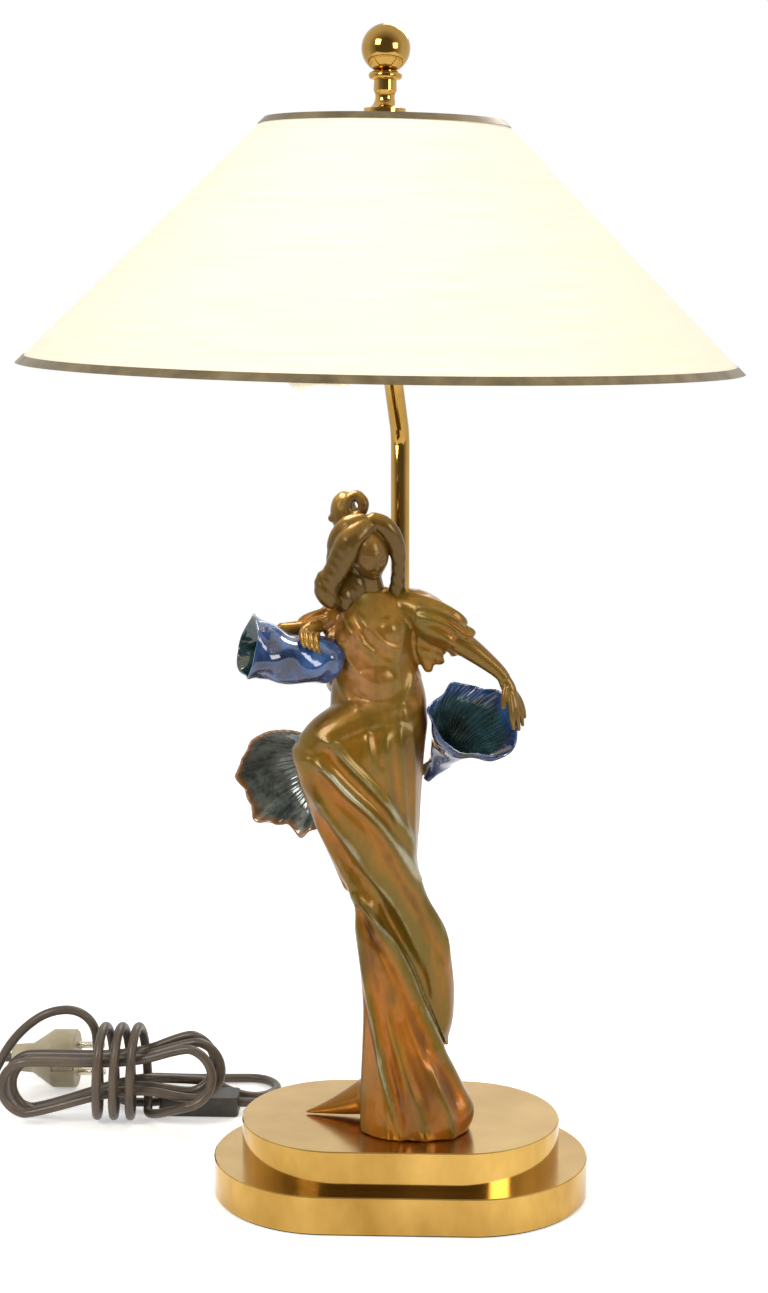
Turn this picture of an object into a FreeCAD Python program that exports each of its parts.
import FreeCAD, Part
import math
import os
import re
import Sketcher

# Figural table lamp: a bronze figure with three glazed blooms on a two-tier brass base,
# and a swan-neck tube behind it that carries one lampholder and a wide conical shade.
# Millimetres and degrees. X runs to the viewer's right, the figure faces -Y, Z is up,
# and the origin is the centre of the base's underside.

V = FreeCAD.Vector
doc = FreeCAD.newDocument("figural_table_lamp")
sheet = doc.addObject("Spreadsheet::Sheet", "Sizes")

SIZES = {
    # base
    "felt_thick": 1.0, "felt_inset": 1.0,
    "lower_long": 224.0, "lower_wide": 140.0, "lower_high": 22.3, "lower_wall": 2.5,
    "upper_long": 190.0, "upper_wide": 119.0, "upper_high": 23.2, "upper_wall": 2.5,
    "edge_chamfer": 0.6, "edge_break": 1.0,
    "ballast_high": 12.0, "ballast_gap": 1.5, "ballast_channel": 17.0,
    "ballast_bolt_x": 62.0, "ballast_bolt_radius": 2.5, "ballast_head_radius": 4.5,
    "ballast_head_high": 3.0, "screw_clearance": 0.1,
    # tube, from the base to the lamp head
    "tube_x": -1.5, "tube_y": 30.0, "tube_radius": 5.5, "tube_wall": 1.0,
    "tube_hole_clearance": 0.15, "tube_stub": 6.0, "bend_rise": 82.0, "bend_drop": 43.0,
    "bend_radius": 22.0, "collar_radius": 9.5, "collar_high": 3.2, "washer_radius": 11.0,
    "washer_thick": 1.3, "nut_across": 15.0, "nut_high": 4.0, "lead_radius": 2.2,
    "lead_turn": 8.0,
    # lamp head
    "head_x": -19.5, "head_y": -25.0, "head_lean": 1.0,
    "hub_drop": 46.4, "hub_radius": 9.0, "hub_high": 21.0, "hub_socket": 5.0,
    "arm_reach": 34.0, "arm_radius": 4.5, "arm_rise": 10.5, "arm_bend": 9.0,
    "rod_radius": 3.0, "rod_socket": 6.0, "rod_reach": 18.3,
    "seat_radius": 8.0, "seat_high": 4.0, "seat_drop": 3.8,
    "running_clearance": 0.05, "axial_clearance": 0.3,
    # lampholder and lamp
    "bulb_radius": 22.5, "bulb_drop": 112.7, "bulb_neck_radius": 11.4,
    "bulb_glass": 0.8, "cap_radius": 13.2, "cap_high": 26.0, "cap_wall": 0.8,
    "bulb_long": 74.0, "contact_radius": 4.5, "contact_high": 2.0,
    "holder_radius": 19.0, "holder_wall": 2.0, "holder_high": 34.0,
    "holder_dome": 9.0, "liner_high": 30.0, "liner_clearance": 0.25,
    "liner_fit": 0.05, "arm_seat": 3.0,
    # shade
    "shade_hem_radius": 200.0, "shade_hem_z": 495.0, "shade_top_radius": 65.5,
    "shade_high": 133.2, "shade_skin": 0.8, "ring_radius": 1.6, "ring_gap": 0.15,
    "trim_thick": 0.6, "trim_overhang": 0.5, "top_trim_high": 3.0, "hem_trim_high": 3.6,
    "spider_hub_radius": 12.0, "spider_hub_high": 3.6, "spider_arm_radius": 1.8,
    # finial
    "finial_washer_radius": 15.0, "finial_washer_thick": 1.2,
    "finial_foot_radius": 11.6, "finial_foot_high": 4.7, "finial_shoulder_radius": 9.4,
    "finial_neck_radius": 6.4, "finial_neck_rise": 19.8, "finial_bead_radius": 9.2,
    "finial_bead_rise": 27.6, "finial_bead_half": 2.3, "finial_throat_radius": 6.2,
    "finial_ball_radius": 13.4, "finial_ball_rise": 42.1,
    # cord, switch and plug
    "cord_radius": 3.0, "exit_x": -30.0, "exit_z": 9.0, "grommet_radius": 6.0,
    "grommet_tip_radius": 4.2, "grommet_long": 22.0, "grommet_flange_radius": 8.0,
    "grommet_flange": 2.0, "grommet_neck": 4.0, "fit_clearance": 0.1,
    "switch_long": 52.0, "switch_wide": 20.0, "switch_high": 13.0, "switch_x": -136.0,
    "switch_y": 122.0, "switch_round": 3.0, "rocker_long": 17.0, "rocker_wide": 9.0,
    "rocker_deep": 4.0, "rocker_crown": 2.0, "rocker_clearance": 0.8,
    "rocker_sink": 1.4, "rocker_pin": 1.0, "rocker_pin_reach": 2.5, "rocker_tilt": 6.0,
    "plug_x": -268.0, "plug_y": 166.0, "plug_radius": 19.5, "plug_long": 44.0,
    "plug_rear_radius": 9.0, "plug_waist": 14.0, "plug_face": 16.0,
    "pin_radius": 2.4, "pin_shank_radius": 1.8, "pin_spacing": 19.0, "pin_long": 19.0,
    "pin_root": 8.0, "earth_wide": 6.0, "earth_long": 15.0, "earth_deep": 3.0,
    "earth_thick": 1.2,
    # hank
    "hank_x": -178.0, "hank_y": 103.0, "hank_z": 34.0, "hank_pitch": 8.0,
    "waist_half": 7.5, "lobe_radius": 18.5, "left_lobe_x": -243.0,
    "left_lobe_z": 24.0, "right_lobe_x": -142.0, "right_lobe_z": 36.5,
    "lobe_fan": 4.0, "lobe_stagger": 5.0, "wrap_turns": 3.25, "wrap_half_wide": 21.5,
    "wrap_half_high": 30.5, "wrap_start_x": -168.0, "wrap_end_x": -203.0,
    # fixings of the figure and stalks of the blooms
    "foot_bolt_radius": 2.5, "foot_bolt_head": 4.5, "foot_bolt_head_high": 3.0,
    "foot_bolt_grip": 12.0, "foot_bolt_left_x": -8.0, "foot_bolt_right_x": 22.0,
    "foot_bolt_y": -18.0, "stalk_radius": 3.4, "stalk_knot_x": -14.0,
    "stalk_knot_y": 13.0, "stalk_knot_rise": 239.5, "stalk_knot_radius": 8.0,
    "bloom_wall": 1.6,
}

# Heights and fits that follow from the driving sizes.
DERIVED = {
    "base_top": "felt_thick+lower_high+upper_high",
    "tube_hole": "tube_radius+tube_hole_clearance",
    "rod_hole": "rod_radius+running_clearance",
    "shade_top_z": "shade_hem_z+shade_high",
    "seat_top_z": "shade_top_z-seat_drop",
    "hub_bottom_z": "seat_top_z-hub_drop",
    "hub_top_z": "hub_bottom_z+hub_high",
    "arm_z": "hub_bottom_z+arm_rise",
    "rod_top_z": "seat_top_z+rod_reach",
    "bend_high_z": "hub_bottom_z-bend_drop",
    "bend_low_z": "bend_high_z-bend_rise",
    "bulb_tip_z": "arm_z-bulb_drop",
    "finial_neck_z": "seat_top_z+finial_neck_rise",
    "finial_bead_z": "seat_top_z+finial_bead_rise",
    "finial_ball_z": "seat_top_z+finial_ball_rise",
    "cone_slope": "(shade_hem_radius-shade_top_radius)/shade_high",
    "cone_spread": "sqrt(1+cone_slope^2)",
}

# Stations of the gown from hem to neckline: middle, half width and half depth of the section,
# how far it is turned about the vertical, and how deep the drapery folds are there. Heights
# of the figure, the blooms and the stalks are above the base's top.
GOWN_STATIONS = (
    # name, rise, middle x, middle y, half width, half depth, turn, fold
    ("gown_hem", 0.0, 9.0, -19.0, 33.0, 26.0, 8.0, 0.085),
    ("gown_flare", 19.5, 8.0, -18.0, 30.0, 23.0, 8.0, 0.085),
    ("gown_ankle", 45.5, 3.5, -15.0, 24.5, 20.0, 8.0, 0.080),
    ("gown_shin", 75.5, 5.0, -10.0, 26.0, 18.0, 10.0, 0.075),
    ("gown_calf", 105.5, 2.5, -8.0, 26.0, 17.0, 10.0, 0.070),
    ("gown_back_knee", 137.5, -6.5, -11.0, 20.5, 17.0, 0.0, 0.060),
    ("gown_drop", 167.5, -15.0, -16.0, 23.5, 18.5, 8.0, 0.050),
    ("gown_thigh", 197.5, -20.0, -20.0, 31.5, 20.0, 20.0, 0.040),
    ("gown_knee", 227.5, -23.5, -20.0, 41.0, 20.0, 26.0, 0.020),
    ("gown_lap", 242.5, -15.5, -14.0, 34.0, 19.0, 24.0, 0.015),
    ("gown_waist", 264.5, -12.0, -10.0, 26.5, 14.5, 6.0, 0.012),
    ("gown_bust", 291.5, -15.0, -14.0, 21.5, 16.5, 4.0, 0.012),
    ("gown_shoulder", 309.5, -17.0, -12.0, 22.5, 13.0, 8.0, 0.010),
    ("gown_neckline", 319.5, -17.0, -12.0, 11.5, 9.5, 8.0, 0.0),
)
GOWN_FIELDS = ("rise", "x", "y", "wide", "deep", "turn", "fold")
GOWN_FOLDS = 7
GOWN_FOLD_TWIST = 150.0
SECTION_POINTS = 28


def fill_sheet():
    """Write every driving size into the sheet, one row each, with its name as alias."""
    row = 1
    for alias, number in SIZES.items():
        row = write_size(row, alias, number)
    for station in GOWN_STATIONS:
        for field, number in zip(GOWN_FIELDS, station[1:]):
            row = write_size(row, station[0] + "_" + field, number)
    doc.recompute()


def write_size(row, alias, number):
    sheet.set("A%d" % row, alias)
    sheet.set("B%d" % row, str(number))
    sheet.setAlias("B%d" % row, alias)
    return row + 1


def size(alias):
    return number_of(alias) if alias in DERIVED else float(getattr(sheet, alias))


def bound(expression):
    """The expression with derived names spelt out and each size's name as a cell of the sheet."""
    while re.search(r"(?<![\w.])(%s)(?!\w)" % "|".join(DERIVED), expression):
        for name, rule in DERIVED.items():
            expression = re.sub(r"(?<![\w.])%s(?!\w)" % name, "(%s)" % rule, expression)
    names = set(re.findall(r"[a-z][a-z_]+", expression))
    for name in sorted(names, key=len, reverse=True):
        if hasattr(sheet, name):
            expression = re.sub(r"(?<![\w.])%s(?!\w)" % name, "Sizes." + name, expression)
    return expression


def number_of(expression):
    value = sheet.evalExpression(bound(expression))
    return float(value.Value) if hasattr(value, "Value") else float(value)


def bind(thing, **expressions):
    """Bind properties of an object to expressions of the sheet's sizes."""
    for name, expression in expressions.items():
        thing.setExpression(name.replace("__", "."), bound(expression))
    return thing


def place(thing, x="0", y="0", z="0"):
    return bind(thing, Placement__Base__x=x, Placement__Base__y=y, Placement__Base__z=z)


def origin_plane(body, role):
    return next(f for f in body.Origin.OriginFeatures if f.Role == role)


def new_body(label):
    body = doc.addObject("PartDesign::Body", label)
    body.Label = label
    return body


def new_sketch(body, name, role):
    sketch = body.newObject("Sketcher::SketchObject", name)
    sketch.AttachmentSupport = (origin_plane(body, role), "")
    sketch.MapMode = "FlatFace"
    return sketch


# ---------------------------------------------------------------- turned and flat pieces

def arc_centre(start, end, radius, side):
    """Centre of the arc of the given radius from start to end, on the given side."""
    middle = (start + end) * 0.5
    half = (end - start).Length / 2
    across = V(-(end - start).y, (end - start).x, 0).normalize()
    return middle + across * (side * math.sqrt(max(radius * radius - half * half, 0.0)))


def turned(label, profile):
    """A body turned about Z. The profile's corners are (radius, height) expressions; a corner
    with two more entries is reached by an arc of that radius, bulging out for side 1."""
    body = new_body(label)
    sketch = new_sketch(body, label + "_profile", "XZ_Plane")
    corners = [V(number_of(c[0]), number_of(c[1]), 0) for c in profile]
    count = len(corners)
    ends = []
    for i in range(count):
        start, end = corners[i], corners[(i + 1) % count]
        target = profile[(i + 1) % count]
        if len(target) == 2:
            sketch.addGeometry(Part.LineSegment(start, end), False)
            ends.append((1, 2))
            continue
        radius = number_of(target[2])
        centre = arc_centre(start, end, radius, target[3])
        first = math.atan2(start.y - centre.y, start.x - centre.x)
        last = math.atan2(end.y - centre.y, end.x - centre.x)
        circle = Part.Circle(centre, V(0, 0, 1), radius)
        if target[3] > 0:
            sketch.addGeometry(Part.ArcOfCircle(circle, first, last), False)
            ends.append((1, 2))
        else:
            sketch.addGeometry(Part.ArcOfCircle(circle, last, first), False)
            ends.append((2, 1))
    for i in range(count):
        after = (i + 1) % count
        sketch.addConstraint(Sketcher.Constraint("Coincident", i, ends[i][1], after, ends[after][0]))
    for i in range(count):
        pin_corner(sketch, i, ends[i][0], profile[i])
        target = profile[(i + 1) % count]
        if len(target) > 2:
            index = sketch.addConstraint(Sketcher.Constraint("Radius", i, number_of(target[2])))
            sketch.setExpression("Constraints[%d]" % index, bound(target[2]))
    turn = body.newObject("PartDesign::Revolution", label + "_turn")
    turn.Profile = sketch
    turn.ReferenceAxis = (sketch, ["V_Axis"])
    turn.Angle = 360.0
    return body


def pin_corner(sketch, geometry, end, corner):
    """Hold a corner at its radius and height from the sketch's origin."""
    for kind, expression, axis in (("DistanceX", corner[0], -2), ("DistanceY", corner[1], -1)):
        if expression == "0":
            sketch.addConstraint(Sketcher.Constraint("PointOnObject", geometry, end, axis))
            continue
        rule = Sketcher.Constraint(kind, -1, 1, geometry, end, number_of(expression))
        index = sketch.addConstraint(rule)
        sketch.setExpression("Constraints[%d]" % index, bound(expression))


def stadium(body, name, long, wide, level):
    """Sketch of a slot-shaped outline with half-round ends, at the given height."""
    sketch = new_sketch(body, name, "XY_Plane")
    bind(sketch, AttachmentOffset__Base__z=level)
    radius = number_of("(%s)/2" % wide)
    reach = number_of("(%s)/2" % long) - radius
    up = V(0, 0, 1)
    sketch.addGeometry(Part.LineSegment(V(-reach, -radius, 0), V(reach, -radius, 0)), False)
    right = Part.Circle(V(reach, 0, 0), up, radius)
    sketch.addGeometry(Part.ArcOfCircle(right, -math.pi / 2, math.pi / 2), False)
    sketch.addGeometry(Part.LineSegment(V(reach, radius, 0), V(-reach, radius, 0)), False)
    left = Part.Circle(V(-reach, 0, 0), up, radius)
    sketch.addGeometry(Part.ArcOfCircle(left, math.pi / 2, 3 * math.pi / 2), False)
    for first, second in ((0, 1), (1, 2), (2, 3), (3, 0)):
        sketch.addConstraint(Sketcher.Constraint("Tangent", first, 2, second, 1))
    sketch.addConstraint(Sketcher.Constraint("Horizontal", 0))
    sketch.addConstraint(Sketcher.Constraint("PointOnObject", 1, 3, -1))
    sketch.addConstraint(Sketcher.Constraint("Symmetric", 1, 3, 3, 3, -1, 1))
    index = sketch.addConstraint(Sketcher.Constraint("Radius", 1, radius))
    sketch.setExpression("Constraints[%d]" % index, bound("(%s)/2" % wide))
    index = sketch.addConstraint(Sketcher.Constraint("DistanceX", 3, 3, 1, 3, 2 * reach))
    sketch.setExpression("Constraints[%d]" % index, bound("(%s)-(%s)" % (long, wide)))
    return sketch


def stadium_block(label, long, wide, level, high):
    body = new_body(label)
    pad = body.newObject("PartDesign::Pad", label + "_pad")
    pad.Profile = stadium(body, label + "_outline", long, wide, level)
    bind(pad, Length=high)
    return body


def edges_at(shape, height):
    """Names of the shape's edges that lie flat at the given height."""
    names = []
    for i, edge in enumerate(shape.Edges):
        box = edge.BoundBox
        if abs(box.ZMin - height) < 1e-4 and abs(box.ZMax - height) < 1e-4:
            names.append("Edge%d" % (i + 1))
    return names


def tier(label, long, wide, level, high, wall):
    """A hollow tier of the base: open underneath, with a chamfered top edge."""
    body = stadium_block(label, long, wide, level, high)
    pocket = body.newObject("PartDesign::Pocket", label + "_hollow")
    inside = ("(%s)-2*%s" % (long, wall), "(%s)-2*%s" % (wide, wall))
    pocket.Profile = stadium(body, label + "_inside", inside[0], inside[1], level)
    pocket.Reversed = True
    bind(pocket, Length="%s-%s" % (high, wall))
    doc.recompute()
    bevel = body.newObject("PartDesign::Chamfer", label + "_chamfer")
    top = number_of("%s+%s" % (level, high))
    bevel.Base = (pocket, edges_at(pocket.Shape, top))
    bind(bevel, Size="edge_chamfer")
    body.Tip = bevel
    return body


def cylinder(label, radius, high, x="0", y="0", z="0", turn=None):
    tool = doc.addObject("Part::Cylinder", label)
    bind(tool, Radius=radius, Height=high)
    if turn:
        tool.Placement = FreeCAD.Placement(V(), FreeCAD.Rotation(turn[0], turn[1]))
    return place(tool, x, y, z)


def block(label, long, wide, high, x="0", y="0", z="0"):
    tool = doc.addObject("Part::Box", label)
    bind(tool, Length=long, Width=wide, Height=high)
    return place(tool, x, y, z)


def fused(label, *pieces):
    joined = doc.addObject("Part::MultiFuse", label)
    joined.Shapes = list(pieces)
    return joined


def cut(label, base, *tools):
    tool = tools[0] if len(tools) == 1 else fused(label + "_tools", *tools)
    result = doc.addObject("Part::Cut", label)
    result.Base = base
    result.Tool = tool
    return result


# ---------------------------------------------------------------- free shapes

def feature(label, shape):
    item = doc.addObject("Part::Feature", label)
    item.Shape = shape
    return item


def ring_wire(centre, normal, radius):
    return Part.Wire(Part.Circle(centre, normal, radius).toShape())


def head_point(x, y, z):
    """A point of the leaning head's own frame, in the lamp's frame."""
    return head_placement().multVec(V(x, y, z))


def head_placement():
    lean = FreeCAD.Rotation(V(0, 1, 0), size("head_lean"))
    return FreeCAD.Placement(V(size("head_x"), size("head_y"), 0), lean)


def on_head(thing):
    """Stand a piece on the lamp head's leaning axis."""
    thing.Placement = head_placement()
    return bind(thing, Placement__Base__x="head_x", Placement__Base__y="head_y",
                Placement__Rotation__Angle="head_lean")


def bent_path(points, radii=None, report=None):
    """A wire of straight runs joined by tangent arcs, as large as the runs allow."""
    edges = []
    printed = []
    here = points[0]
    for i in range(1, len(points) - 1):
        back = (points[i] - points[i - 1])
        ahead = (points[i + 1] - points[i])
        half = back.getAngle(ahead) / 2
        shorter = min(back.Length, ahead.Length)
        radius = radii[i - 1] if radii else 0.45 * shorter / math.tan(half)
        reach = radius * math.tan(half)
        back.normalize()
        ahead.normalize()
        start = points[i] - back * reach
        end = points[i] + ahead * reach
        inward = (ahead - back).normalize()
        apex = points[i] + inward * (radius / math.cos(half) - radius)
        if (start - here).Length > 1e-6:
            edges.append(Part.LineSegment(here, start).toShape())
        edges.append(Part.Arc(start, apex, end).toShape())
        here = end
        printed.append(round(radius, 1))
    edges.append(Part.LineSegment(here, points[-1]).toShape())
    if report:
        print(report, "bend radii", printed)
    return Part.Wire(edges)


def piped(path, radius):
    """A round bar along the path."""
    start = path.Edges[0].valueAt(path.Edges[0].FirstParameter)
    along = path.Edges[0].tangentAt(path.Edges[0].FirstParameter)
    return path.makePipeShell([ring_wire(start, along, radius)], True, False)


def above_base(x, y, rise):
    """A point at the given height above the base's top."""
    return V(x, y, size("base_top") + rise)


def limb(line):
    """A tapered round limb lofted through circles: rows of x, y, rise and radius."""
    wires = []
    points = [above_base(*row[:3]) for row in line]
    for i, point in enumerate(points):
        before = points[max(i - 1, 0)]
        after = points[min(i + 1, len(points) - 1)]
        along = (after - before).normalize()
        wires.append(ring_wire(point, along, line[i][3]))
    return Part.makeLoft(wires, True, False)


def solid_of(shape):
    """The single largest solid of a boolean's result."""
    solids = sorted(shape.Solids, key=lambda s: s.Volume)
    return solids[-1]


# ---------------------------------------------------------------- the base

def make_base():
    """Felt, two hollow tiers, ballast, and what clamps them to the tube."""
    parts = {}
    parts["felt_pad"] = stadium_block(
        "felt_pad", "lower_long-2*felt_inset", "lower_wide-2*felt_inset", "0", "felt_thick")
    lower = tier("lower_tier_shell", "lower_long", "lower_wide", "felt_thick", "lower_high",
                 "lower_wall")
    upper = tier("upper_tier_shell", "upper_long", "upper_wide", "felt_thick+lower_high",
                 "upper_high", "upper_wall")
    bore = cylinder("tube_bore", "tube_hole", "lower_high+upper_high", "tube_x", "tube_y",
                    "felt_thick")
    cord_hole = cylinder("cord_hole", "grommet_radius+fit_clearance", "lower_wide/2+2*lower_wall",
                         "exit_x", "lower_wide", "exit_z", (V(1, 0, 0), 90))
    holes = [bore, cord_hole]
    for side, sign in (("left", "-"), ("right", "")):
        holes.append(cylinder("ballast_hole_" + side, "ballast_bolt_radius+screw_clearance",
                              "lower_high", sign + "ballast_bolt_x", "0", "felt_thick"))
    parts["lower_tier"] = cut("lower_tier", lower, *holes)
    upper_holes = [cylinder("upper_tube_bore", "tube_hole", "upper_high*2", "tube_x", "tube_y",
                            "felt_thick+lower_high")]
    for side in ("left", "right"):
        upper_holes.append(cylinder(
            "foot_hole_" + side, "foot_bolt_radius+screw_clearance", "upper_high*2",
            "foot_bolt_%s_x" % side, "foot_bolt_y", "felt_thick+lower_high"))
    parts["upper_tier"] = cut("upper_tier", upper, *upper_holes)

    under = "felt_thick+lower_high-lower_wall"
    slab = stadium_block("ballast_slab", "lower_long-2*lower_wall-2*ballast_gap",
                         "lower_wide-2*lower_wall-2*ballast_gap", under + "-ballast_high",
                         "ballast_high")
    well = cylinder("ballast_nut_well", "washer_radius+ballast_gap", "lower_high", "tube_x",
                    "tube_y", "0")
    channel = block("ballast_channel_cut", "tube_x-exit_x+ballast_channel", "lower_wide",
                    "lower_high", "exit_x-ballast_channel/2", "tube_y-ballast_channel/2", "0")
    bolts = []
    for side, sign in (("left", "-"), ("right", "")):
        bolts.append(cylinder("ballast_bore_" + side, "ballast_bolt_radius+screw_clearance",
                              "lower_high*2", sign + "ballast_bolt_x", "0", "0"))
    parts["base_ballast"] = cut("base_ballast", slab, well, channel, *bolts)

    heads = []
    for side, sign in (("left", "-"), ("right", "")):
        bolt = turned("ballast_bolt_" + side, (
            ("0", under + "-ballast_high-ballast_head_high"),
            ("ballast_head_radius", under + "-ballast_high-ballast_head_high"),
            ("ballast_head_radius", under + "-ballast_high"),
            ("ballast_bolt_radius", under + "-ballast_high"),
            ("ballast_bolt_radius", under + "+lower_wall"),
            ("0", under + "+lower_wall")))
        heads.append(place(bolt, sign + "ballast_bolt_x"))
    group = doc.addObject("Part::Compound", "ballast_bolts")
    group.Links = heads
    parts["ballast_bolts"] = group

    foot_under = "base_top-upper_wall"
    feet = []
    for side in ("left", "right"):
        bolt = turned("foot_bolt_" + side, (
            ("0", foot_under + "-foot_bolt_head_high"),
            ("foot_bolt_head", foot_under + "-foot_bolt_head_high"),
            ("foot_bolt_head", foot_under), ("foot_bolt_radius", foot_under),
            ("foot_bolt_radius", foot_under + "+upper_wall+foot_bolt_grip"),
            ("0", foot_under + "+upper_wall+foot_bolt_grip")))
        feet.append(place(bolt, "foot_bolt_%s_x" % side, "foot_bolt_y"))
    group = doc.addObject("Part::Compound", "figure_bolts")
    group.Links = feet
    parts["figure_bolts"] = group

    washer = turned("tube_washer_ring", (
        ("tube_hole", under + "-washer_thick"), ("washer_radius", under + "-washer_thick"),
        ("washer_radius", under), ("tube_hole", under)))
    parts["tube_washer"] = place(washer, "tube_x", "tube_y")
    nut = doc.addObject("Part::Prism", "tube_nut_hexagon")
    nut.Polygon = 6
    bind(nut, Circumradius="nut_across/1.7320508", Height="nut_high")
    place(nut, "tube_x", "tube_y", under + "-washer_thick-nut_high")
    nut_hole = cylinder("tube_nut_thread", "tube_hole", "nut_high*3", "tube_x", "tube_y",
                        under + "-washer_thick-nut_high*2")
    parts["tube_nut"] = cut("tube_nut", nut, nut_hole)
    collar = turned("tube_collar", (
        ("tube_hole", "base_top"), ("collar_radius", "base_top"),
        ("collar_radius", "base_top+collar_high/2"),
        ("tube_hole+edge_break", "base_top+collar_high"), ("tube_hole", "base_top+collar_high")))
    parts["tube_collar"] = place(collar, "tube_x", "tube_y")
    return parts


# ---------------------------------------------------------------- the tube and its lead

def tube_points(foot_z, top_z):
    """Line of the swan neck: up behind the figure, forward to the head's axis, and up."""
    return [V(size("tube_x"), size("tube_y"), foot_z),
            V(size("tube_x"), size("tube_y"), size("bend_low_z")),
            head_point(0, 0, size("bend_high_z")), head_point(0, 0, top_z)]


def make_tube():
    parts = {}
    under = number_of("felt_thick+lower_high-lower_wall")
    foot = under - size("tube_stub")
    top = number_of("hub_bottom_z+hub_socket")
    bends = [size("bend_radius")] * 2
    path = bent_path(tube_points(foot, top), bends)
    outer = piped(path, size("tube_radius"))
    inner = piped(path, number_of("tube_radius-tube_wall"))
    shape = solid_of(outer.cut(inner))
    section = math.pi * (size("tube_radius") ** 2 - number_of("tube_radius-tube_wall") ** 2)
    print("tube volume over section times length:", round(shape.Volume / section / path.Length, 4))
    parts["swan_neck_tube"] = feature("swan_neck_tube", shape)

    turn = size("lead_turn")
    entry = V(size("exit_x"), number_of("lower_wide/2-grommet_flange-lower_wall"), size("exit_z"))
    corner = V(size("exit_x"), size("tube_y"), size("exit_z"))
    below = V(size("tube_x"), size("tube_y"), size("exit_z"))
    line = [entry, corner, below] + tube_points(foot, top)[1:3]
    line.append(head_point(0, 0, top - size("hub_socket")))
    lead = bent_path(line, [turn, turn * 0.75] + bends)
    parts["inner_lead"] = feature("inner_lead", piped(lead, size("lead_radius")))
    return parts


# ---------------------------------------------------------------- the lamp head

def make_head():
    """Hub, side arm, lampholder, bulb, riser rod and the seat of the shade."""
    parts = {}
    hub = turned("hub_turning", (
        ("0", "hub_bottom_z+hub_socket+edge_break"),
        ("tube_hole", "hub_bottom_z+hub_socket+edge_break"),
        ("tube_hole", "hub_bottom_z"), ("hub_radius-edge_break", "hub_bottom_z"),
        ("hub_radius", "hub_bottom_z+edge_break"), ("hub_radius", "hub_top_z-edge_break"),
        ("hub_radius-edge_break", "hub_top_z"), ("rod_hole", "hub_top_z"),
        ("rod_hole", "hub_top_z-rod_socket"), ("0", "hub_top_z-rod_socket")))
    arm_hole = cylinder("arm_hole", "arm_radius+fit_clearance", "hub_radius*2",
                        "-hub_radius/2", "0", "arm_z", (V(0, 1, 0), -90))
    hub_cut = cut("stem_hub", hub, arm_hole)
    parts["stem_hub"] = on_head(hub_cut)

    holder_top = number_of("bulb_tip_z+bulb_long+contact_high+holder_dome-arm_seat")
    reach = size("arm_reach")
    hub_inside = number_of("hub_radius/2+2*fit_clearance")
    arm = bent_path([V(-hub_inside, 0, size("arm_z")), V(-reach, 0, size("arm_z")),
                     V(-reach, 0, holder_top)], [size("arm_bend")])
    arm_item = feature("side_arm", piped(arm, size("arm_radius")))
    parts["side_arm"] = on_head(arm_item)

    rod = turned("riser_rod", (
        ("0", "hub_top_z-rod_socket"), ("rod_radius", "hub_top_z-rod_socket"),
        ("rod_radius", "rod_top_z"), ("0", "rod_top_z")))
    parts["riser_rod"] = on_head(rod)
    seat = turned("shade_seat", (
        ("rod_hole", "seat_top_z-seat_high"),
        ("seat_radius-2", "seat_top_z-seat_high"), ("seat_radius", "seat_top_z-seat_high/2"),
        ("seat_radius", "seat_top_z"), ("rod_hole", "seat_top_z")))
    parts["shade_seat"] = on_head(seat)
    parts.update(make_holder())
    return parts


def beside(thing):
    """Stand a piece on the lampholder's axis, at the end of the side arm."""
    thing.Placement = head_placement()
    lean = math.radians(size("head_lean"))
    return bind(thing, Placement__Base__x="head_x-arm_reach*cos(head_lean)",
                Placement__Base__y="head_y", Placement__Base__z="arm_reach*sin(head_lean)",
                Placement__Rotation__Angle="head_lean")


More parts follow.
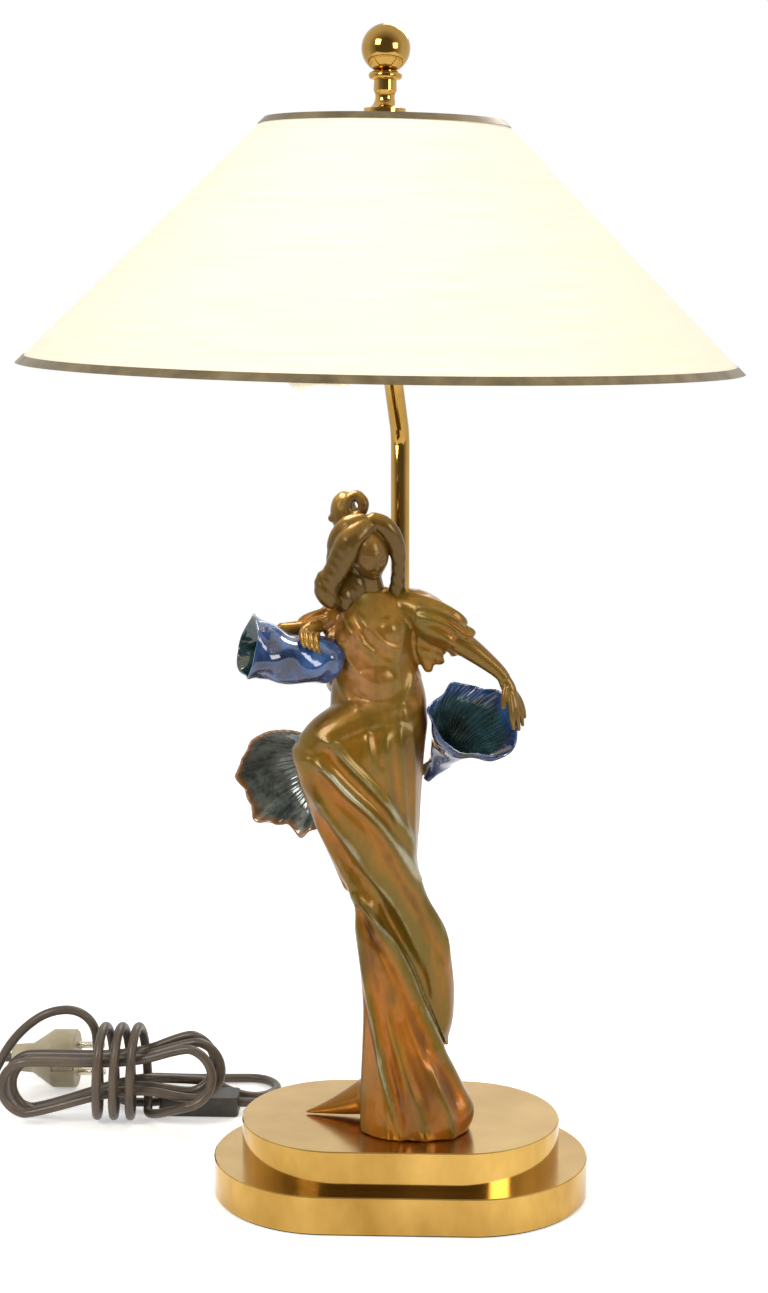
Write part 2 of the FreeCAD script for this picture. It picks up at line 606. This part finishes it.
def make_holder():
    """Lampholder shell with its insulating liner, and the screw-in lamp."""
    parts = {}
    cap_top = "bulb_tip_z+bulb_long"
    inside_top = cap_top + "+contact_high"
    dome_top = inside_top + "+holder_dome"
    skirt = inside_top + "-holder_high"
    shell = turned("lampholder_shell", (
        ("arm_radius+fit_clearance", dome_top),
        ("arm_radius+fit_clearance", dome_top + "-arm_seat"),
        ("holder_radius-holder_wall", inside_top + "+fit_clearance"),
        ("holder_radius-holder_wall", skirt), ("holder_radius", skirt),
        ("holder_radius", inside_top + "+holder_wall"),
        ("arm_radius+2*holder_wall", dome_top + "-edge_break"),
        ("arm_radius+2*holder_wall-edge_break", dome_top)))
    parts["lampholder_shell"] = beside(shell)
    liner = turned("lampholder_liner", (
        ("contact_radius", inside_top), ("contact_radius", cap_top + "+2*liner_clearance"),
        ("cap_radius+liner_clearance", cap_top + "+2*liner_clearance"),
        ("cap_radius+liner_clearance", inside_top + "-liner_high"),
        ("holder_radius-holder_wall-liner_fit", inside_top + "-liner_high"),
        ("holder_radius-holder_wall-liner_fit", inside_top)))
    parts["lampholder_liner"] = beside(liner)
    centre = "bulb_tip_z+bulb_radius"
    glass = turned("bulb_glass_turning", (
        ("0", "bulb_tip_z"),
        ("bulb_neck_radius", "%s+sqrt(bulb_radius*bulb_radius-bulb_neck_radius*bulb_neck_radius)"
         % centre, "bulb_radius", 1),
        ("bulb_neck_radius", cap_top + "-cap_high/2"),
        ("bulb_neck_radius-bulb_glass", cap_top + "-cap_high/2"),
        ("bulb_neck_radius-bulb_glass",
         "%s+sqrt((bulb_radius-bulb_glass)^2-(bulb_neck_radius-bulb_glass)^2)" % centre),
        ("0", "bulb_tip_z+bulb_glass", "bulb_radius-bulb_glass", -1)))
    parts["bulb_envelope"] = beside(glass)
    cap = turned("bulb_cap", (
        ("bulb_neck_radius+fit_clearance", cap_top + "-cap_high"),
        ("cap_radius", cap_top + "-cap_high"),
        ("cap_radius", cap_top + "-3*edge_break"), ("contact_radius+2*edge_break", cap_top),
        ("0", cap_top), ("0", cap_top + "-cap_wall-edge_break"),
        ("contact_radius+edge_break", cap_top + "-cap_wall-edge_break"),
        ("bulb_neck_radius+fit_clearance", cap_top + "-cap_wall-3.5*edge_break")))
    parts["bulb_cap"] = beside(cap)
    return parts


# ---------------------------------------------------------------- the shade and finial

def cone_radius(z):
    """Expression of the shade's outer radius at a height."""
    return "(shade_hem_radius-(%s-shade_hem_z)*cone_slope)" % z


def make_shade():
    parts = {}
    skin = turned("shade_skin_turning", (
        (cone_radius("shade_hem_z"), "shade_hem_z"), (cone_radius("shade_top_z"), "shade_top_z"),
        (cone_radius("shade_top_z") + "-shade_skin*cone_spread", "shade_top_z"),
        (cone_radius("shade_hem_z") + "-shade_skin*cone_spread", "shade_hem_z")))
    parts["shade_cone"] = on_head(skin)
    for name, low, high in (("top", "shade_top_z-top_trim_high", "shade_top_z+trim_overhang"),
                            ("hem", "shade_hem_z-trim_overhang", "shade_hem_z+hem_trim_high")):
        band = turned("shade_%s_trim" % name, (
            (cone_radius(low), low), (cone_radius(low) + "+trim_thick*cone_spread", low),
            (cone_radius(high) + "+trim_thick*cone_spread", high), (cone_radius(high), high)))
        parts["shade_%s_trim" % name] = on_head(band)
    inset = "-(shade_skin+ring_radius)*cone_spread-ring_gap"
    hem_z = "shade_hem_z+ring_radius"
    ring = doc.addObject("Part::Torus", "shade_hem_ring_torus")
    bind(ring, Radius1=cone_radius(hem_z) + inset, Radius2="ring_radius")
    parts["shade_hem_ring"] = lift_on_head(ring, hem_z)
    top_z = "seat_top_z+axial_clearance+spider_hub_high/2"
    rim = doc.addObject("Part::Torus", "spider_rim")
    bind(rim, Radius1=cone_radius(top_z) + inset, Radius2="ring_radius")
    place(rim, "0", "0", top_z)
    hub = turned("spider_hub", (
        ("rod_hole", "seat_top_z+axial_clearance"),
        ("spider_hub_radius", "seat_top_z+axial_clearance"),
        ("spider_hub_radius", "seat_top_z+axial_clearance+spider_hub_high"),
        ("rod_hole", "seat_top_z+axial_clearance+spider_hub_high")))
    arms = []
    for i in range(3):
        arm = cylinder("spider_arm_%d" % (i + 1), "spider_arm_radius",
                       cone_radius(top_z) + inset + "-spider_hub_radius+1")
        spoke = FreeCAD.Rotation(V(0, 0, 1), 90 + 120 * i)
        arm.Placement = FreeCAD.Placement(V(), spoke.multiply(FreeCAD.Rotation(V(0, 1, 0), 90)))
        turn = math.radians(90 + 120 * i)
        place(arm, "(spider_hub_radius-1)*%.6f" % math.cos(turn),
              "(spider_hub_radius-1)*%.6f" % math.sin(turn), top_z)
        arms.append(arm)
    spider = fused("shade_spider", hub, rim, *arms)
    parts["shade_spider"] = on_head(spider)

    washer_z = "seat_top_z+2*axial_clearance+spider_hub_high"
    washer = turned("finial_washer", (
        ("rod_hole", washer_z), ("finial_washer_radius", washer_z),
        ("finial_washer_radius", washer_z + "+finial_washer_thick"),
        ("rod_hole", washer_z + "+finial_washer_thick")))
    parts["finial_washer"] = on_head(washer)
    foot = washer_z + "+finial_washer_thick"
    foot_top = foot + "+finial_foot_high"
    cove = ("0.65*sqrt((finial_neck_z-(%s))^2+(finial_shoulder_radius-finial_neck_radius)^2)"
            % foot_top)
    ball_low = "finial_ball_z-sqrt(finial_ball_radius^2-finial_throat_radius^2)"
    finial = turned("finial_turning", (
        ("rod_hole", foot), ("finial_foot_radius", foot),
        ("finial_foot_radius", foot_top), ("finial_shoulder_radius", foot_top),
        ("finial_neck_radius", "finial_neck_z", cove, -1),
        ("finial_throat_radius", "finial_bead_z-finial_bead_half"),
        ("finial_bead_radius-finial_bead_half", "finial_bead_z-finial_bead_half"),
        ("finial_bead_radius-finial_bead_half", "finial_bead_z+finial_bead_half",
         "finial_bead_half", 1),
        ("finial_throat_radius", "finial_bead_z+finial_bead_half"),
        ("finial_throat_radius", ball_low),
        ("0", "finial_ball_z+finial_ball_radius", "finial_ball_radius", 1),
        ("0", "rod_top_z+axial_clearance"),
        ("rod_hole", "rod_top_z+axial_clearance")))
    parts["ball_finial"] = on_head(finial)
    return parts


def lift_on_head(thing, z):
    """Set a piece centred at height z of the leaning head."""
    thing.Placement = head_placement()
    return bind(thing, Placement__Base__x="head_x+(%s)*sin(head_lean)" % z,
                Placement__Base__y="head_y", Placement__Base__z="(%s)*cos(head_lean)" % z,
                Placement__Rotation__Angle="head_lean")


# ---------------------------------------------------------------- the figure

def station_wire(name):
    """A closed section of the gown: a turned oval with the drapery's folds round it."""
    middle = above_base(size(name + "_x"), size(name + "_y"), size(name + "_rise"))
    turn = math.radians(size(name + "_turn"))
    phase = math.radians(GOWN_FOLD_TWIST) * size(name + "_rise") / size("gown_neckline_rise")
    points = []
    for i in range(SECTION_POINTS):
        angle = 2 * math.pi * i / SECTION_POINTS
        ripple = 1 + size(name + "_fold") * math.cos(GOWN_FOLDS * (angle - turn + phase))
        across = size(name + "_wide") * math.cos(angle) * ripple
        deep = size(name + "_deep") * math.sin(angle) * ripple
        points.append(middle + V(across * math.cos(turn) - deep * math.sin(turn),
                                 across * math.sin(turn) + deep * math.cos(turn), 0))
    curve = Part.BSplineCurve()
    curve.interpolate(points, PeriodicFlag=True)
    return Part.Wire(curve.toShape())


def ellipsoid(middle, half, axis=(0, 0, 1), angle=0.0):
    """An egg-shaped solid with half sizes along X, Y and Z, turned about an axis."""
    ball = Part.makeSphere(1.0)
    grow = FreeCAD.Matrix()
    grow.scale(V(*half))
    shape = ball.transformGeometry(grow)
    shape.Placement = FreeCAD.Placement(above_base(*middle), FreeCAD.Rotation(V(*axis), angle))
    return shape


def bloom_wires(line, waves, petals, tilt, shrink=0.0):
    """Rings of a bloom along its line; the last ones wave like a petal's edge."""
    wires = []
    points = [above_base(*row[:3]) for row in line]
    for i, point in enumerate(points):
        before = points[max(i - 1, 0)]
        after = points[min(i + 1, len(points) - 1)]
        along = (after - before).normalize()
        if i >= len(points) - 2:
            along = (along + tilt * (0.5 if i == len(points) - 2 else 1.0)).normalize()
        side = along.cross(V(0, 0, 1)).normalize()
        up = side.cross(along).normalize()
        ring = []
        for j in range(BLOOM_POINTS):
            angle = 2 * math.pi * j / BLOOM_POINTS
            reach = (line[i][3] - shrink) * (1 + waves[i] * math.cos(petals * angle))
            ring.append(point + side * (reach * math.cos(angle)) + up * (reach * math.sin(angle)))
        curve = Part.BSplineCurve()
        curve.interpolate(ring, PeriodicFlag=True)
        wires.append(Part.Wire(curve.toShape()))
    return wires


def bloom(label, line, waves, petals, tilt):
    """A trumpet-shaped bloom: a thin skin, closed at its neck and open at its mouth."""
    outer = Part.makeLoft(bloom_wires(line, waves, petals, tilt), True, True)
    hollow = bloom_wires(line[1:], waves[1:], petals, tilt, size("bloom_wall"))
    return feature(label, solid_of(outer.cut(Part.makeLoft(hollow, True, True))))


BLOOM_POINTS = 16
BLOOMS = {
    # rows of x, y, rise and radius from neck to mouth, how much each ring waves, the petals
    # round it and how the mouth is tipped
    "right_hand_bloom": (
        ((-33, -25, 279.5, 4.0), (-42, -27, 281.5, 12.0), (-56, -30, 282.5, 14.5),
         (-70, -33, 284.5, 14.5), (-82, -36, 287.5, 16.5)),
        (0.0, 0.0, 0.02, 0.05, 0.10), 3, V(0.1, -0.25, 0.15)),
    "left_hand_bloom": (
        ((20, 2, 215.5, 3.6), (26, -4, 225.5, 8.0), (33, -12, 234.5, 15.0),
         (38, -18, 242.5, 21.5), (42, -24, 250.5, 27.5)),
        (0.0, 0.0, 0.02, 0.05, 0.09), 5, V(0.05, -0.15, 0.25)),
    "knee_bloom": (
        ((-40, 22, 215.5, 3.6), (-48, 19.5, 213.5, 8.0), (-56, 16, 210.5, 17.0),
         (-62, 11, 207, 25.0), (-66, 5, 204, 30.5)),
        (0.0, 0.0, 0.02, 0.05, 0.08), 6, V(0.1, -0.8, 0.1)),
}

# Limbs, locks and sleeves from root to tip: x, y, rise and radius.
LIMBS = {
    "train": ((-57, 0.5, 0.6, 0.7), (-40, -2, 7, 6.0), (-22, -4, 15, 11.0), (-4, -6, 24, 14.0)),
    "nose": ((-15.5, -36.5, 343.5, 1.2), (-14.6, -39.5, 337.5, 2.6), (-14.2, -38, 335, 1.4)),
    "neck": ((-17, -13, 309.5, 10.5), (-17.5, -14.5, 321.5, 8.5), (-18.5, -17, 335.5, 9.0)),
    "right_lock": ((-36, -24, 347.5, 5.0), (-38.5, -28, 335.5, 6.0), (-42, -29, 327.5, 8.0),
                   (-41, -27, 317.5, 7.0), (-38, -23, 310.5, 3.0)),
    "left_lock": ((-8, -22, 357.5, 6.0), (-1, -20, 348.5, 5.5), (1.5, -18, 336.5, 5.0),
                  (0, -15, 324.5, 5.0), (-3, -12, 316.5, 4.0)),
    "left_sleeve": ((2, -13, 310.5, 10.0), (14, -17, 304.5, 12.0), (26, -21, 297.5, 12.0),
                    (35, -24, 292.5, 10.5)),
    "sleeve_point": ((12, -15, 303.5, 8.5), (16, -14, 289.5, 8.0), (19, -14, 276.5, 4.0)),
    "left_arm": ((32, -23, 294.5, 6.5), (44, -25, 286.5, 6.0), (55, -26, 278.5, 4.8),
                 (62, -27, 270.5, 3.8), (64, -29, 262.5, 4.2), (66, -31, 253.5, 2.2)),
    "left_finger": ((64.5, -26, 263.5, 2.4), (68.5, -24, 253.5, 1.9), (70, -23, 244.5, 1.2)),
    "right_sleeve": ((-34, -13, 308.5, 8.5), (-44, -16, 304.5, 9.0), (-55, -20, 300.5, 8.0),
                     (-62, -23, 298.5, 6.0)),
    "right_arm": ((-60, -23, 299, 4.6), (-68, -26, 298, 4.0), (-76, -29, 297.5, 2.6)),
    "right_hand": ((-50, -27, 298.5, 4.5), (-46, -34, 298, 3.4), (-42, -39, 295.5, 2.0)),
}

# Egg-shaped pieces of the head and hair: middle, half sizes, axis and angle of the turn.
EGGS = {
    "skull": ((-19, -21, 342.5), (14.5, 17, 21), (0.3, 1, 0), -10),
    "chin": ((-14, -29, 327), (6.5, 6, 5)),
    "hair_cap": ((-21, -18, 346.5), (18.5, 19.5, 23.5), (0.3, 1, 0), -10),
    "face_opening": ((-14, -43, 336.5), (13.5, 22, 19), (0.3, 1, 0), -14),
    "hair_knot": ((-29, -17, 370), (9.5, 9, 9)),
}

# Way of each bloom's branch behind the figure, from the knot: x, y and rise.
BRANCHES = {
    "right_hand_bloom": ((-31, 8, 251.5), (-39.5, -3, 262.5), (-38.5, -15, 269.5)),
    "left_hand_bloom": ((0, 14, 215.5), (11, 11, 209.5), (20.5, 1.5, 216.5)),
    "knee_bloom": ((-25, 18.5, 227.5), (-40.5, 21.5, 215)),
}


def make_blooms():
    return {label: bloom(label, *shape) for label, shape in BLOOMS.items()}


def make_gown():
    """The gown from hem to neckline with its train, bored from below for the foot bolts."""
    gown = Part.makeLoft([station_wire(s[0]) for s in GOWN_STATIONS], True, False)
    hem = size("base_top")
    reach = size("upper_long")
    below = Part.makeBox(reach, reach, hem, V(-reach / 2, -reach / 2, 0))
    gown = gown.fuse(limb(LIMBS["train"]).cut(below))
    for side in ("left", "right"):
        hole = Part.makeCylinder(
            number_of("foot_bolt_radius+screw_clearance"), number_of("foot_bolt_grip+edge_break"),
            V(size("foot_bolt_%s_x" % side), size("foot_bolt_y"), hem))
        gown = gown.cut(hole)
    return solid_of(gown)


def make_figure(blooms):
    """Gown, head, hair, sleeves, arms and the stalks of the blooms."""
    gown = make_gown()
    head = ellipsoid(*EGGS["skull"])
    head = head.fuse([limb(LIMBS["nose"]), ellipsoid(*EGGS["chin"]), limb(LIMBS["neck"])])
    head = solid_of(head.cut(gown))
    hair = ellipsoid(*EGGS["hair_cap"]).cut(ellipsoid(*EGGS["face_opening"]))
    hair = hair.fuse([ellipsoid(*EGGS["hair_knot"]), limb(LIMBS["right_lock"]),
                      limb(LIMBS["left_lock"])])
    hair = solid_of(hair.cut(head).cut(gown))

    left_arm = limb(LIMBS["left_arm"]).fuse(limb(LIMBS["left_finger"]))
    left_sleeve = limb(LIMBS["left_sleeve"]).fuse(limb(LIMBS["sleeve_point"]))
    left_sleeve = solid_of(left_sleeve.cut(gown).cut(hair).cut(left_arm))
    left_arm = solid_of(left_arm.cut(blooms["left_hand_bloom"].Shape))

    held = blooms["right_hand_bloom"].Shape
    right_arm = solid_of(limb(LIMBS["right_arm"]).cut(held))
    right_sleeve = limb(LIMBS["right_sleeve"]).cut(gown).cut(hair)
    right_sleeve = solid_of(right_sleeve.cut(right_arm).cut(held))
    hand = solid_of(limb(LIMBS["right_hand"]).cut(right_sleeve).cut(gown).cut(held))
    shapes = {"gown": gown, "head": head, "hair": hair, "left_sleeve": left_sleeve,
              "left_arm": left_arm, "right_sleeve": right_sleeve, "right_arm": right_arm,
              "right_hand": hand, "bloom_stalks": stalks(gown, blooms)}
    return {label: feature(label, shape) for label, shape in shapes.items()}


def stalks(gown, blooms):
    """A knot behind the waist with one branch to each bloom."""
    radius = size("stalk_radius")
    centre = (size("stalk_knot_x"), size("stalk_knot_y"), size("stalk_knot_rise"))
    knot = size("stalk_knot_radius")
    shape = ellipsoid(centre, (1.1 * knot, 0.8 * knot, knot))
    for way in BRANCHES.values():
        rows = [centre + (1.2 * radius,)] + [point + (radius,) for point in way]
        shape = shape.fuse(limb(rows))
    shape = shape.cut(gown)
    for label in BRANCHES:
        shape = shape.cut(blooms[label].Shape)
    return solid_of(shape)


# ---------------------------------------------------------------- the cord and what is on it

# Route of the free cord, chosen by hand: from the grommet to the switch, from the switch to
# the hank, and from the hank to the plug.
LEAD_TO_SWITCH = ((-30, 92, 9), (-31, 110, 7.2), (-42, 125, 4), (-60, 130, 3.2),
                  (-79, 128, 3.9), (-93, 122, 6.5), (-110, 122, 6.5))
LEAD_TO_HANK = ((-162, 122, 6.5), (-184, 123, 3.6), (-201, 149, 3.2), (-184, 177, 3.2),
                (-152, 174.5, 3.2), (-123, 175.5, 3.2), (-97, 177, 3.2), (-85, 157, 3.2),
                (-97, 138.5, 3.6), (-114, 137.5, 6.5), (-130, 135.8, 16))
TAIL_TO_PLUG = ((-216, 122.5, 69), (-234, 120.5, 68), (-249, 118.5, 58.5),
                (-261, 117.5, 45), (-269.5, 117, 28.5), (-279, 117.5, 12.5), (-293, 125.5, 4),
                (-302, 141, 6.5), (-297, 157, 13.5), (-283, 166, 19.5), (-268, 166, 19.5))
END_RUN = 6.0


def lobe(x, z, side, y_from, y_to, steps, radius):
    """Half turn of a loop: points and headings from its first run round to its second."""
    turn = []
    for i in range(steps + 1):
        angle = math.pi * i / steps
        point = V(x + side * radius * math.sin(angle), y_from + (y_to - y_from) * i / steps,
                  z + side * radius * math.cos(angle))
        turn.append((point, V(side * math.cos(angle), (y_to - y_from) / (math.pi * radius),
                              -side * math.sin(angle))))
    return turn


def hank_route(half_steps, turn_steps):
    """Points and headings of the hank: three loops drawn in at the waist, then the wraps."""
    x, y, z = size("hank_x"), size("hank_y"), size("hank_z")
    pitch, half, radius = size("hank_pitch"), size("waist_half"), size("lobe_radius")
    fan, stagger = size("lobe_fan"), size("lobe_stagger")
    columns = [y + pitch, y, y - pitch]
    start = (V(x + 15, columns[0] + 6.5, z - half - 2.5), V(-0.88, -0.44, 0.18))
    route = [(start[0] - start[1] * END_RUN, start[1]), start]
    for k in range(3):
        out = (k - 1) * fan
        low = columns[k] - (k - 1) * fan
        high = columns[k] - pitch * (1.0 if k < 2 else 1.25)
        route.append((V(x, columns[k], z - half), V(-1, 0, 0)))
        route += lobe(size("left_lobe_x") + stagger * (k % 2), size("left_lobe_z") + out / 2,
                      -1, low, low, half_steps, radius - (k - 1) * 0.5)
        route.append((V(x, columns[k], z + half), V(1, 0, 0)))
        route += lobe(size("right_lobe_x") + stagger * (k % 2), size("right_lobe_z") - out / 2,
                      1, columns[k], high, half_steps, radius)
    turns, wide, tall = size("wrap_turns"), size("wrap_half_wide"), size("wrap_half_high")
    middle = tall + size("cord_radius") + 0.4
    along = size("wrap_end_x") - size("wrap_start_x")
    count = int(round(turns * turn_steps))
    for i in range(count + 1):
        angle = 2 * math.pi * turns * i / count
        point = V(size("wrap_start_x") + along * i / count, y + wide * math.sin(angle),
                  middle - tall * math.cos(angle))
        heading = V(along / (2 * math.pi * turns), wide * math.cos(angle), tall * math.sin(angle))
        route.append((point, heading))
    last, heading = route[-1]
    route.append((last + heading.normalize() * END_RUN, heading))
    return [(point, heading.normalize()) for point, heading in route]


def arc_or_line(start, corner, end):
    """The arc from start to end whose tangents meet at the corner."""
    middle = (start + end) * 0.5
    rise = corner - middle
    if rise.Length < 1e-4:
        return Part.LineSegment(start, end).toShape()
    half = math.atan2(rise.Length, (end - middle).Length)
    radius = (corner - start).Length / math.tan(half)
    sag = radius * (1 - math.cos(half))
    return Part.Arc(start, middle + rise.normalize() * sag, end).toShape()


def biarc(start, start_heading, end, end_heading):
    """Two arcs that leave start and reach end along the given headings."""
    gap = end - start
    both = start_heading + end_heading
    spread = 2 * (1 - start_heading.dot(end_heading))
    across = gap.dot(both)
    if spread < 1e-9:
        reach = gap.dot(gap) / (4 * gap.dot(end_heading))
    else:
        reach = (-across + math.sqrt(across * across + spread * gap.dot(gap))) / spread
    first = start + start_heading * reach
    second = end - end_heading * reach
    joint = (first + second) * 0.5
    return [arc_or_line(start, first, joint), arc_or_line(joint, second, end)]


def eight_sided(point, along, radius):
    """An octagon of the cord's width square to the given heading."""
    side = along.cross(V(0, 0, 1)).normalize()
    up = side.cross(along).normalize()
    corners = []
    for i in range(9):
        angle = math.pi * (i + 0.5) / 4
        corners.append(point + side * (radius * math.cos(angle)) + up * (radius * math.sin(angle)))
    return Part.makePolygon(corners)


def hank_shape():
    """The hank as one unbroken eight-sided tube."""
    route = hank_route(2, 4)
    edges = []
    for (start, leave), (end, reach) in zip(route, route[1:]):
        edges += biarc(start, leave, end, reach)
    path = Part.Wire(edges)
    shape = path.makePipeShell([eight_sided(route[0][0], route[0][1], size("cord_radius"))],
                               True, False)
    report_hank(path, edges)
    return shape


def report_hank(path, edges):
    """Print the hank's length, its tightest bend and its least gap to itself."""
    radii = [e.Curve.Radius for e in edges if hasattr(e.Curve, "Radius")]
    points = path.discretize(Number=900)
    step = path.Length / 899
    skip = int(4 * size("cord_radius") * 2 / step)
    least = min((points[i] - points[j]).Length
                for i in range(len(points)) for j in range(i + skip, len(points)))
    print("hank length %.1f least radius %.1f least gap %.2f" % (
        path.Length, min(radii), least - 2 * size("cord_radius")))


def cord_tube(label, points):
    path = bent_path([V(*p) for p in points], report=label)
    shape = piped(path, size("cord_radius"))
    section = math.pi * size("cord_radius") ** 2
    print(label, "length %.1f, volume over section times length %.4f" % (
        path.Length, shape.Volume / section / path.Length))
    return feature(label, shape)


def make_cord():
    """Grommet, the cord's free stretches and hank, the in-line switch and the plug."""
    parts = {}
    back = "lower_wide/2"
    grommet = turned("cord_grommet", (
        ("cord_radius+fit_clearance", back + "-lower_wall-grommet_flange"),
        ("grommet_flange_radius", back + "-lower_wall-grommet_flange"),
        ("grommet_flange_radius", back + "-lower_wall-fit_clearance"),
        ("grommet_radius", back + "-lower_wall-fit_clearance"),
        ("grommet_radius", back + "+grommet_neck"),
        ("grommet_tip_radius", back + "+grommet_long"),
        ("cord_radius+fit_clearance", back + "+grommet_long")))
    grommet.Placement = FreeCAD.Placement(V(), FreeCAD.Rotation(V(1, 0, 0), -90))
    parts["cord_grommet"] = place(grommet, "exit_x", "0", "exit_z")

    route = hank_route(2, 4)
    first, heading = route[0]
    to_hank = list(LEAD_TO_HANK) + [tuple(first - heading * (2 * END_RUN)), tuple(first)]
    last, leaving = route[-1]
    tail = [tuple(last), tuple(last + leaving * (3 * END_RUN))] + list(TAIL_TO_PLUG)
    parts["cord_to_switch"] = cord_tube("cord_to_switch", LEAD_TO_SWITCH)
    parts["cord_to_hank"] = cord_tube("cord_to_hank", to_hank)
    parts["cord_hank"] = feature("cord_hank", hank_shape())
    parts["cord_to_plug"] = cord_tube("cord_to_plug", tail)
    parts.update(make_switch())
    parts.update(make_plug())
    return parts


def make_switch():
    """A small in-line switch lying on the table, with a rocker in a well in its top."""
    parts = {}
    slab = block("switch_slab", "switch_long", "switch_wide", "switch_high",
                 "switch_x-switch_long/2", "switch_y-switch_wide/2", "0")
    doc.recompute()
    rounded = doc.addObject("Part::Fillet", "switch_rounded")
    rounded.Base = slab
    upright = [i + 1 for i, e in enumerate(slab.Shape.Edges) if e.BoundBox.ZLength > 1]
    rounded.Edges = [(i, size("switch_round"), size("switch_round")) for i in upright]
    well = block("rocker_well", "rocker_long+2*rocker_clearance",
                 "rocker_wide+2*rocker_clearance", "switch_high",
                 "switch_x-rocker_long/2-rocker_clearance",
                 "switch_y-rocker_wide/2-rocker_clearance",
                 "switch_high-rocker_deep-rocker_sink")
    pin_hole = cylinder("rocker_pin_hole", "rocker_pin+fit_clearance",
                        "rocker_wide+2*rocker_pin_reach+2*fit_clearance", "switch_x",
                        "switch_y+rocker_wide/2+rocker_pin_reach+fit_clearance",
                        "switch_high-rocker_deep/2", (V(1, 0, 0), 90))
    parts["switch_body"] = cut("switch_body", rounded, well, pin_hole)

    lens = cylinder("rocker_lens", "(rocker_long^2/4+rocker_crown^2)/(2*rocker_crown)",
                    "rocker_wide", "0", "rocker_wide/2",
                    "rocker_deep/2+rocker_crown-(rocker_long^2/4+rocker_crown^2)/(2*rocker_crown)",
                    (V(1, 0, 0), 90))
    box = block("rocker_block", "rocker_long", "rocker_wide", "rocker_deep+rocker_crown+1",
                "-rocker_long/2", "-rocker_wide/2", "-rocker_deep/2")
    crown = doc.addObject("Part::MultiCommon", "rocker_crown_shape")
    crown.Shapes = [lens, box]
    pin = cylinder("rocker_pin_bar", "rocker_pin", "rocker_wide+2*rocker_pin_reach", "0",
                   "rocker_wide/2+rocker_pin_reach", "0", (V(1, 0, 0), 90))
    rocker = fused("switch_rocker", crown, pin)
    rocker.Placement = FreeCAD.Placement(V(), FreeCAD.Rotation(V(0, 1, 0), size("rocker_tilt")))
    bind(rocker, Placement__Rotation__Angle="rocker_tilt")
    parts["switch_rocker"] = place(rocker, "switch_x", "switch_y", "switch_high-rocker_deep/2")
    return parts


def make_plug():
    """A round two-pin plug lying on its side, its pins towards +X and one above the other."""
    parts = {}
    lying = FreeCAD.Rotation(V(0, 1, 0), 90)
    body = turned("plug_turning", (
        ("0", "0"), ("plug_rear_radius-edge_break", "0"), ("plug_rear_radius", "edge_break"),
        ("plug_rear_radius+edge_break", "plug_waist"), ("plug_radius", "plug_long-plug_face"),
        ("plug_radius", "plug_long-edge_break"), ("plug_radius-edge_break", "plug_long"),
        ("0", "plug_long")))
    body.Placement = FreeCAD.Placement(V(), lying)
    place(body, "plug_x", "plug_y", "plug_radius")
    tools = []
    pins = []
    for name, sign in (("upper", "+"), ("lower", "-")):
        level = "plug_radius%spin_spacing/2" % sign
        tools.append(cylinder("pin_hole_" + name, "pin_shank_radius+fit_clearance", "pin_root",
                              "plug_x+plug_long-pin_root", "plug_y", level, (V(0, 1, 0), 90)))
        pins.append(pin_body(name, level, lying))
    strips = []
    for name, sign in (("near", "-"), ("far", "+")):
        edge = "plug_y%s(plug_radius-earth_deep)" % sign
        slot = block("earth_slot_" + name, "earth_long+1", "earth_deep*2", "earth_wide",
                     "plug_x+plug_long-earth_long",
                     edge if sign == "+" else edge + "-earth_deep*2",
                     "plug_radius-earth_wide/2")
        tools.append(slot)
        strips.append(block("earth_strip_" + name, "earth_long-1", "earth_thick",
                            "earth_wide-2*fit_clearance", "plug_x+plug_long-earth_long",
                            edge if sign == "+" else edge + "-earth_thick",
                            "plug_radius-earth_wide/2+fit_clearance"))
    parts["plug_body"] = cut("plug_body", body, *tools)
    for node, links in (("plug_pins", pins), ("plug_earth_strips", strips)):
        group = doc.addObject("Part::Compound", node)
        group.Links = links
        parts[node] = group
    return parts


def pin_body(name, level, lying):
    pin = turned("plug_pin_" + name, (
        ("0", "plug_long-pin_root"), ("pin_shank_radius", "plug_long-pin_root"),
        ("pin_shank_radius", "plug_long"), ("pin_radius", "plug_long"),
        ("pin_radius", "plug_long+pin_long-edge_break"),
        ("pin_radius-edge_break", "plug_long+pin_long"),
        ("0", "plug_long+pin_long")))
    pin.Placement = FreeCAD.Placement(V(), lying)
    return place(pin, "plug_x", "plug_y", level)


# ---------------------------------------------------------------- build and export

def check_and_export(parts):
    """Recompute, stop on any failed object or bad shape, and write one file per node."""
    doc.recompute()
    for item in doc.Objects:
        if "Invalid" in item.State or "Error" in item.State:
            raise RuntimeError("failed object: %s %s" % (item.Name, item.State))
    os.makedirs("parts", exist_ok=True)
    for node, item in parts.items():
        shape = item.Shape
        if shape.isNull() or not shape.isValid() or not shape.Solids:
            raise RuntimeError("bad shape: " + node)
        item.Label = node
    for node, item in parts.items():
        item.Shape.exportStep("parts/%s.step" % node)
        box = item.Shape.BoundBox
        print("%-20s solids %d volume %9.1f  z %6.1f to %6.1f" % (
            node, len(item.Shape.Solids), item.Shape.Volume, box.ZMin, box.ZMax))


def main():
    fill_sheet()
    parts = {}
    parts.update(make_base())
    parts.update(make_tube())
    parts.update(make_head())
    parts.update(make_shade())
    blooms = make_blooms()
    parts.update(blooms)
    parts.update(make_figure(blooms))
    parts.update(make_cord())
    check_and_export(parts)


main()
